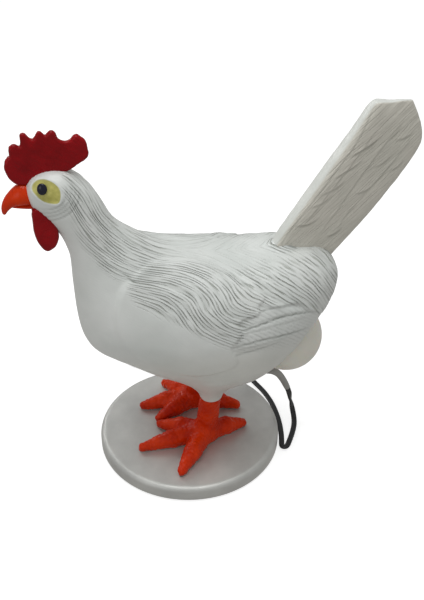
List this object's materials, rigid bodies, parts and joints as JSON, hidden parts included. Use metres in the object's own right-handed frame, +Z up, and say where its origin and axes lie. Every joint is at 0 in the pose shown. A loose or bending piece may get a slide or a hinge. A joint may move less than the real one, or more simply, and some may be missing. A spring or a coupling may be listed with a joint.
{
  "type": "hen-shaped night light",
  "caption": "Hen-shaped resin night light on a round base, with an unscrewing translucent egg shade, an in-line rocker switch and a flat lead with a USB plug.",
  "frame": {"origin": "middle of the face of the base pad that the lamp stands on", "axes": "+Z up, -X the way the hen faces, -Y the hen's left side"},
  "size_m": [0.2079, 0.18, 0.2036],
  "materials": {
    "silver_paint": "metallic silver paint on cast iron, satin",
    "pad_foam": "matt foam rubber",
    "leg_paint": "orange-red lacquer on cast resin",
    "zinc_steel": "zinc-plated",
    "white_resin": "white lacquer with a faint grey-green wash in the hollows, satin",
    "comb_paint": "deep crimson lacquer on cast resin",
    "beak_paint": "orange-red lacquer on cast resin",
    "eye_gloss": "gloss",
    "holder_plastic": "moulded",
    "seal_rubber": "matt",
    "egg_plastic": "translucent, satin",
    "board_white": "matt",
    "led_yellow": "gloss",
    "relief_grey": "soft, matt",
    "cord_black": "satin",
    "tie_grey": "matt",
    "case_black": "fine spark texture",
    "rocker_grey": "gloss",
    "contact_brass": "bright",
    "plug_steel": "nickel-plated"
  },
  "bodies": {
    "hen": {"base_disc": "silver_paint", "base_pad": "pad_foam", "leg_left": "leg_paint", "leg_right": "leg_paint", "leg_stud_left": "zinc_steel", "leg_stud_right": "zinc_steel", "leg_nuts": "zinc_steel", "leg_washers": "zinc_steel", "body_shell": "white_resin", "tail_fan": "white_resin", "comb": "comb_paint", "beak_upper": "beak_paint", "beak_lower": "beak_paint", "wattle_left": "comb_paint", "wattle_right": "comb_paint", "eye_left": "eye_gloss", "eye_right": "eye_gloss", "lamp_holder": "holder_plastic", "holder_screws": "zinc_steel", "led_board": "board_white", "led_chips": "led_yellow", "board_screws": "zinc_steel", "cable_gland": "relief_grey", "strain_relief": "relief_grey", "inner_lead": "cord_black", "cord_lead": "cord_black", "cord_link": "cord_black", "cord_tail": "cord_black", "cord_coil": "cord_black", "coil_tie": "tie_grey", "switch_case_lower": "case_black", "switch_case_upper": "case_black", "switch_screws": "zinc_steel", "switch_pin": "zinc_steel", "switch_contacts": "contact_brass", "plug_body": "case_black", "plug_shell": "plug_steel", "plug_tongue": "board_white", "plug_contacts": "contact_brass"},
    "seal": {"egg_seal": "seal_rubber"},
    "egg": {"egg_shade": "egg_plastic"},
    "rocker": {"switch_rocker": "rocker_grey"}
  },
  "joints": [
    {"name": "egg_lift", "type": "slide", "parent": "hen", "child": "seal", "axis": [0.7431, 0, -0.6691], "range_m": [0, 0.012]},
    {"name": "egg_turn", "type": "hinge", "parent": "seal", "child": "egg", "pos_m": [0.055, 0, 0.0675], "axis": [0.7431, 0, -0.6691], "range_deg": [0, 1350]},
    {"name": "rocker_tilt", "type": "hinge", "parent": "hen", "child": "rocker", "pos_m": [0.006, 0.068, 0.008], "axis": [0, 1, 0], "range_deg": [0, 18]}
  ],
  "couplings": [
    {"joint": "egg_lift", "follows": "egg_turn", "m_per_rad": 0.00047746}
  ]
}
